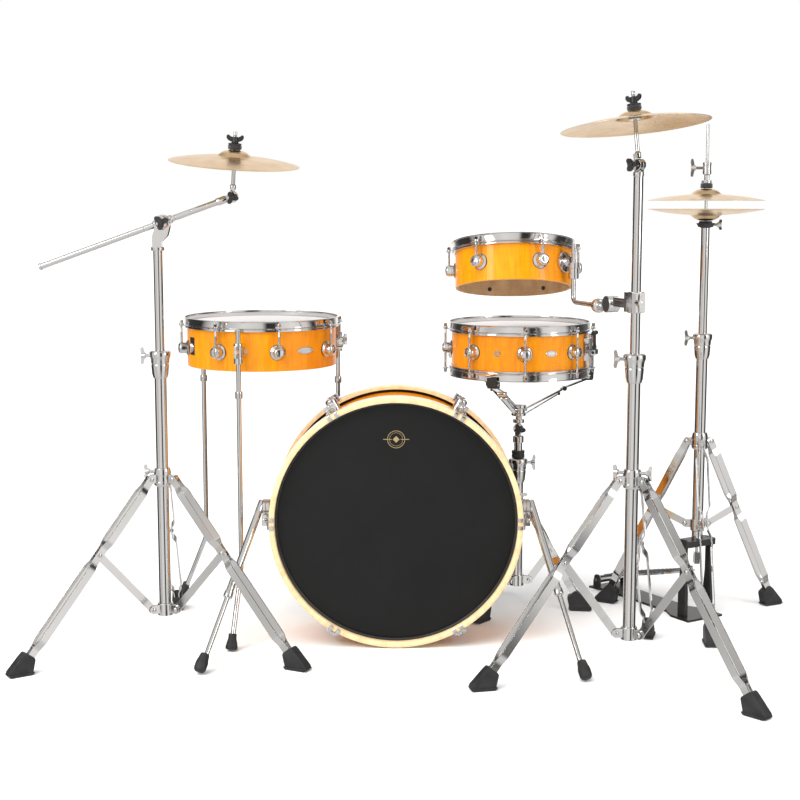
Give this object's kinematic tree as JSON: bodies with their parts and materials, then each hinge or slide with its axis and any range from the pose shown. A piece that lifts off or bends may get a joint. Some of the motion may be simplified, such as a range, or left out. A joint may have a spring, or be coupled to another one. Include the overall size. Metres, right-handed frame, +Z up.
{
  "type": "acoustic drum kit",
  "caption": "Compact acoustic drum kit with bass drum, floor tom, rack tom and snare, a boom and a straight cymbal stand and a pedal hi-hat, all on chrome folding tripods",
  "frame": {"origin": "on the floor under the middle of the kit's bounding box", "axes": "+Z up, +X to the right seen from the audience side, +Y from the audience towards the player"},
  "size_m": [1.6804, 0.9902, 1.1409],
  "materials": {
    "chrome": "polished chrome plate on steel",
    "amber_lacquer": "amber gloss lacquer over wood ply",
    "maple_hoop": "clear satin lacquer on pale maple",
    "black_head": "smooth black polyester film",
    "white_head": "coated white polyester film",
    "cymbal_bronze": "lathed bronze, satin",
    "black_felt": "pressed black felt with moulded black nut",
    "black_steel": "black powder coat",
    "black_plastic": "moulded black plastic",
    "black_rubber": "matte moulded rubber"
  },
  "bodies": {
    "kit_base": {"bass_drum_shell": "amber_lacquer", "bass_drum_hoops": "maple_hoop", "bass_drum_heads": "black_head", "bass_drum_claws": "chrome", "turret_lugs": "chrome", "tension_rods": "chrome", "floor_tom_shell": "amber_lacquer", "floor_tom_rim": "chrome", "floor_tom_head": "white_head", "leg_brackets": "chrome", "stand_base_tubes": "chrome", "height_clamps": "chrome", "hihat_pedal_frame": "black_steel", "fixed_tripod_legs": "chrome"},
    "left_spur": {"left_spur": "chrome"},
    "right_spur": {"right_spur": "chrome"},
    "tom_leg_front": {"floor_tom_leg_front": "chrome"},
    "tom_leg_left": {"floor_tom_leg_left": "chrome"},
    "tom_leg_right": {"floor_tom_leg_right": "chrome"},
    "boom_hub": {"boom_leg_hub": "chrome"},
    "boom_leg_1": {"boom_leg_1": "chrome"},
    "boom_brace_1": {"boom_brace_1": "chrome"},
    "boom_leg_2": {"boom_leg_2": "chrome"},
    "boom_brace_2": {"boom_brace_2": "chrome"},
    "boom_leg_3": {"boom_leg_3": "chrome"},
    "boom_brace_3": {"boom_brace_3": "chrome"},
    "crash_hub": {"crash_leg_hub": "chrome"},
    "crash_leg_1": {"crash_leg_1": "chrome"},
    "crash_brace_1": {"crash_brace_1": "chrome"},
    "crash_leg_2": {"crash_leg_2": "chrome"},
    "crash_brace_2": {"crash_brace_2": "chrome"},
    "crash_leg_3": {"crash_leg_3": "chrome"},
    "crash_brace_3": {"crash_brace_3": "chrome"},
    "boom_mast": {"boom_upper_tube": "chrome"},
    "boom_tilter": {"boom_tilter": "chrome"},
    "boom_arm": {"boom_arm": "chrome"},
    "boom_cymbal_rod": {"boom_cymbal_tilter": "chrome", "boom_cymbal_felts": "black_felt"},
    "boom_cymbal": {"boom_cymbal": "cymbal_bronze"},
    "crash_mast": {"crash_upper_tube": "chrome"},
    "crash_cymbal_rod": {"crash_cymbal_tilter": "chrome", "crash_cymbal_felts": "black_felt"},
    "crash_cymbal": {"crash_cymbal": "cymbal_bronze"},
    "tom_mount": {"tom_mount": "chrome"},
    "rack_tom": {"rack_tom_shell": "amber_lacquer", "rack_tom_rim": "chrome", "rack_tom_head": "white_head", "rack_tom_lugs": "chrome"},
    "hihat_mast": {"hihat_upper_tube": "chrome", "hihat_bottom_cymbal": "cymbal_bronze"},
    "hihat_pull_rod": {"hihat_rod": "chrome", "hihat_top_cymbal": "cymbal_bronze"},
    "hihat_footboard": {"hihat_footboard": "black_steel"},
    "snare_mast": {"snare_upper_tube": "chrome"},
    "snare_drum": {"snare_basket": "chrome", "snare_shell": "amber_lacquer", "snare_rims": "chrome", "snare_heads": "white_head", "snare_hardware": "chrome"},
    "strainer_lever": {"strainer_lever": "black_plastic"}
  },
  "joints": [
    {"name": "right_spur_fold", "type": "hinge", "parent": "kit_base", "child": "right_spur", "pos_m": [0.22425, 0.0097, 0.292], "axis": [-1, 0, 0], "range_deg": [0, 14]},
    {"name": "left_spur_fold", "type": "hinge", "parent": "kit_base", "child": "left_spur", "pos_m": [-0.35175, 0.0097, 0.292], "axis": [-1, 0, 0], "range_deg": [0, 3]},
    {"name": "tom_leg_front_slide", "type": "slide", "parent": "kit_base", "child": "tom_leg_front", "axis": [0, 0, 1], "range_m": [0, 0.05]},
    {"name": "tom_leg_left_slide", "type": "slide", "parent": "kit_base", "child": "tom_leg_left", "axis": [0, 0, 1], "range_m": [0, 0.05]},
    {"name": "tom_leg_right_slide", "type": "slide", "parent": "kit_base", "child": "tom_leg_right", "axis": [0, 0, 1], "range_m": [0, 0.05]},
    {"name": "boom_fold", "type": "slide", "parent": "kit_base", "child": "boom_hub", "axis": [0, 0, 1], "range_m": [-0.045, 0.02]},
    {"name": "boom_leg_1_fold", "type": "hinge", "parent": "boom_hub", "child": "boom_leg_1", "pos_m": [-0.57096, -0.06796, 0.366], "axis": [0.5592, -0.829, 0], "range_deg": [-10.82, 4.84]},
    {"name": "boom_brace_1_fold", "type": "hinge", "parent": "kit_base", "child": "boom_brace_1", "pos_m": [-0.57096, -0.06796, 0.089], "axis": [-0.5592, 0.829, 0], "range_deg": [-11.74, 5.25]},
    {"name": "boom_leg_2_fold", "type": "hinge", "parent": "boom_hub", "child": "boom_leg_2", "pos_m": [-0.52258, -0.06457, 0.366], "axis": [0.4384, 0.8988, 0], "range_deg": [-10.82, 4.84]},
    {"name": "boom_brace_2_fold", "type": "hinge", "parent": "kit_base", "child": "boom_brace_2", "pos_m": [-0.52258, -0.06457, 0.089], "axis": [-0.4384, -0.8988, 0], "range_deg": [-11.74, 5.25]},
    {"name": "boom_leg_3_fold", "type": "hinge", "parent": "boom_hub", "child": "boom_leg_3", "pos_m": [-0.5497, -0.02437, 0.366], "axis": [-0.9976, -0.0698, 0], "range_deg": [-10.82, 4.84]},
    {"name": "boom_brace_3_fold", "type": "hinge", "parent": "kit_base", "child": "boom_brace_3", "pos_m": [-0.5497, -0.02437, 0.089], "axis": [0.9976, 0.0698, 0], "range_deg": [-11.74, 5.25]},
    {"name": "crash_fold", "type": "slide", "parent": "kit_base", "child": "crash_hub", "axis": [0, 0, 1], "range_m": [-0.045, 0.0587]},
    {"name": "crash_leg_1_fold", "type": "hinge", "parent": "crash_hub", "child": "crash_leg_1", "pos_m": [0.36697, -0.2556, 0.399], "axis": [0.225, -0.9744, 0], "range_deg": [-13.72, 17.88]},
    {"name": "crash_brace_1_fold", "type": "hinge", "parent": "kit_base", "child": "crash_brace_1", "pos_m": [0.36697, -0.2556, 0.095], "axis": [-0.225, 0.9744, 0], "range_deg": [-14.58, 19]},
    {"name": "crash_leg_2_fold", "type": "hinge", "parent": "crash_hub", "child": "crash_leg_2", "pos_m": [0.41335, -0.26978, 0.399], "axis": [0.7314, 0.682, 0], "range_deg": [-13.72, 17.88]},
    {"name": "crash_brace_2_fold", "type": "hinge", "parent": "kit_base", "child": "crash_brace_2", "pos_m": [0.41335, -0.26978, 0.095], "axis": [-0.7314, -0.682, 0], "range_deg": [-14.58, 19]},
    {"name": "crash_leg_3_fold", "type": "hinge", "parent": "crash_hub", "child": "crash_leg_3", "pos_m": [0.40244, -0.22252, 0.399], "axis": [-0.9563, 0.2924, 0], "range_deg": [-13.72, 17.88]},
    {"name": "crash_brace_3_fold", "type": "hinge", "parent": "kit_base", "child": "crash_brace_3", "pos_m": [0.40244, -0.22252, 0.095], "axis": [0.9563, -0.2924, 0], "range_deg": [-14.58, 19]},
    {"name": "boom_height", "type": "slide", "parent": "kit_base", "child": "boom_mast", "axis": [0, 0, 1], "range_m": [-0.12, 0.1]},
    {"name": "boom_tilt", "type": "hinge", "parent": "boom_mast", "child": "boom_tilter", "pos_m": [-0.53575, -0.0523, 0.893], "axis": [0, 1, 0], "range_deg": [-10, 40]},
    {"name": "boom_reach", "type": "slide", "parent": "boom_tilter", "child": "boom_arm", "axis": [0.9409, 0, 0.3387], "range_m": [-0.06, 0.09]},
    {"name": "boom_cymbal_tilt", "type": "hinge", "parent": "boom_arm", "child": "boom_cymbal_rod", "pos_m": [-0.39415, -0.0523, 0.94398], "axis": [-0.0442, 0.9914, 0.1228], "range_deg": [-25, 25]},
    {"name": "boom_cymbal_spin", "type": "hinge", "parent": "boom_cymbal_rod", "child": "boom_cymbal", "pos_m": [-0.39415, -0.0523, 0.94398], "axis": [0.0724, -0.1194, 0.9902], "continuous": true},
    {"name": "crash_height", "type": "slide", "parent": "kit_base", "child": "crash_mast", "axis": [0, 0, 1], "range_m": [-0.03, 0.1]},
    {"name": "crash_cymbal_tilt", "type": "hinge", "parent": "crash_mast", "child": "crash_cymbal_rod", "pos_m": [0.39425, -0.2493, 1.003], "axis": [0.7071, 0.7071, 0], "range_deg": [-25, 25]},
    {"name": "crash_cymbal_spin", "type": "hinge", "parent": "crash_cymbal_rod", "child": "crash_cymbal", "pos_m": [0.39425, -0.2493, 1.003], "axis": [-0.0862, 0.0862, 0.9925], "continuous": true},
    {"name": "tom_arm_swing", "type": "hinge", "parent": "crash_mast", "child": "tom_mount", "pos_m": [0.39425, -0.2493, 0.744], "axis": [0, 0, 1], "range_deg": [-25, 40]},
    {"name": "rack_tom_turn", "type": "hinge", "parent": "tom_mount", "child": "rack_tom", "pos_m": [0.30425, 0.0057, 0.727], "axis": [0, 0, 1], "range_deg": [-30, 30]},
    {"name": "hihat_height", "type": "slide", "parent": "kit_base", "child": "hihat_mast", "axis": [0, 0, 1], "range_m": [-0.1, 0]},
    {"name": "hihat_pedal", "type": "hinge", "parent": "kit_base", "child": "hihat_footboard", "pos_m": [0.45739, 0.44872, 0.026], "axis": [0.848, 0.5299, 0], "range_deg": [0, 3], "stiffness_Nm_per_rad": 25, "springref_deg": -22.92},
    {"name": "hihat_pull", "type": "slide", "parent": "kit_base", "child": "hihat_pull_rod", "axis": [0, 0, -1], "range_m": [0, 0.016]},
    {"name": "snare_height", "type": "slide", "parent": "kit_base", "child": "snare_mast", "axis": [0, 0, 1], "range_m": [0, 0.04]},
    {"name": "snare_tilt", "type": "hinge", "parent": "snare_mast", "child": "snare_drum", "pos_m": [0.21425, 0.2677, 0.42], "axis": [0, -1, 0], "range_deg": [-12, 12]},
    {"name": "strainer_throw", "type": "hinge", "parent": "snare_drum", "child": "strainer_lever", "pos_m": [0.37593, 0.20073, 0.602], "axis": [0.3827, 0.9239, 0], "range_deg": [0, 100]}
  ],
  "couplings": [
    {"joint": "boom_leg_1_fold", "follows": "boom_fold", "rad_per_m": 4.1761},
    {"joint": "boom_brace_1_fold", "follows": "boom_fold", "rad_per_m": 4.5351},
    {"joint": "boom_leg_2_fold", "follows": "boom_fold", "rad_per_m": 4.1761},
    {"joint": "boom_brace_2_fold", "follows": "boom_fold", "rad_per_m": 4.5351},
    {"joint": "boom_leg_3_fold", "follows": "boom_fold", "rad_per_m": 4.1761},
    {"joint": "boom_brace_3_fold", "follows": "boom_fold", "rad_per_m": 4.5351},
    {"joint": "crash_leg_1_fold", "follows": "crash_fold", "rad_per_m": 5.3006},
    {"joint": "crash_brace_1_fold", "follows": "crash_fold", "rad_per_m": 5.6351},
    {"joint": "crash_leg_2_fold", "follows": "crash_fold", "rad_per_m": 5.3006},
    {"joint": "crash_brace_2_fold", "follows": "crash_fold", "rad_per_m": 5.6351},
    {"joint": "crash_leg_3_fold", "follows": "crash_fold", "rad_per_m": 5.3006},
    {"joint": "crash_brace_3_fold", "follows": "crash_fold", "rad_per_m": 5.6351},
    {"joint": "hihat_pull", "follows": "hihat_pedal", "m_per_rad": 0.296}
  ]
}
